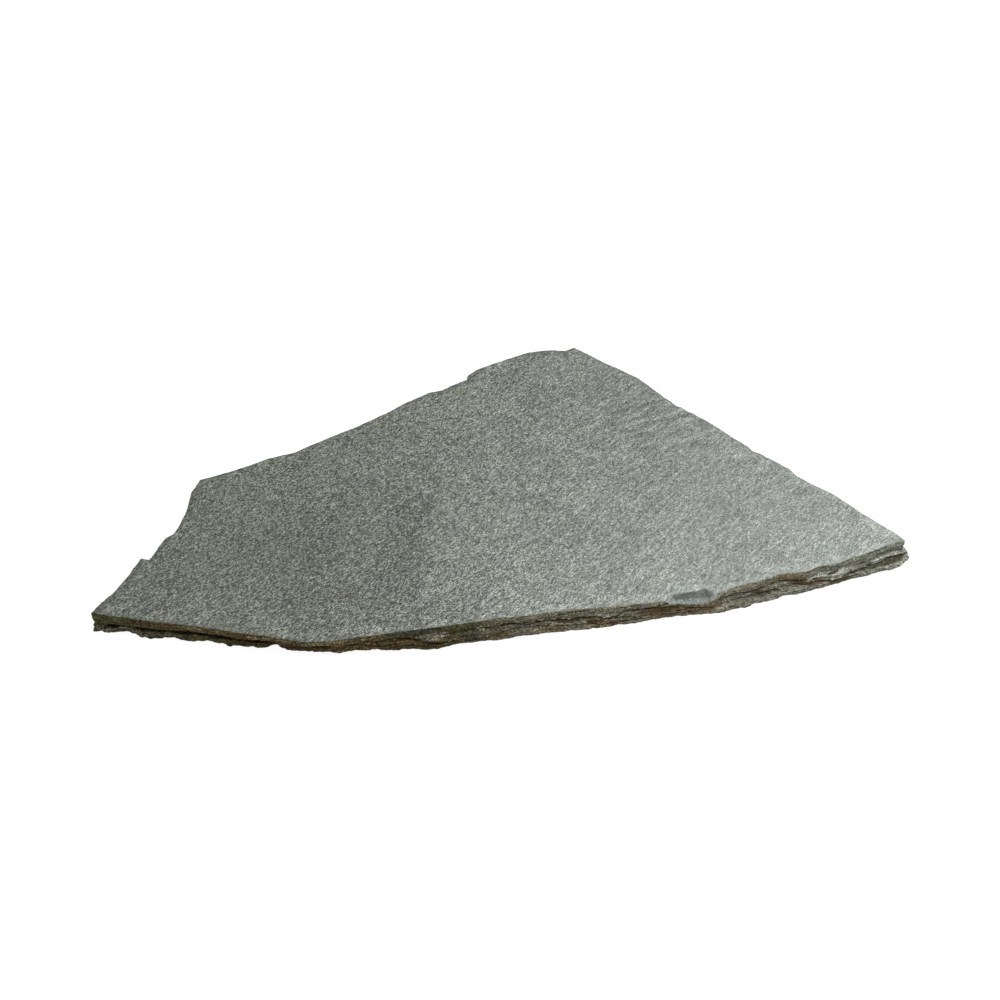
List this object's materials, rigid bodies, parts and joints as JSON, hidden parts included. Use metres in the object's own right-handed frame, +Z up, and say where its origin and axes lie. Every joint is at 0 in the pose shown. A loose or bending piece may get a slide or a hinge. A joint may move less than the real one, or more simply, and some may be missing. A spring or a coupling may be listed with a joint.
{
  "type": "slate slab",
  "caption": "Flat slab of split slate with an irregular pointed outline, a riven grey-green top face and a broken edge that shows its beds; lies flat, as for paving or a garden path.",
  "frame": {"origin": "in the plane the slab rests on, under the middle of its bounding box", "axes": "+X along the slab's length, from its left tip to its right tip; +Y towards its far corner; +Z up, through its thickness"},
  "size_m": [0.7882, 0.5306, 0.0252],
  "materials": {
    "slate": "matt, riven, fine grained, iron-stained brown on the broken edge"
  },
  "bodies": {
    "root": {"slate_slab": "slate"}
  },
  "joints": []
}
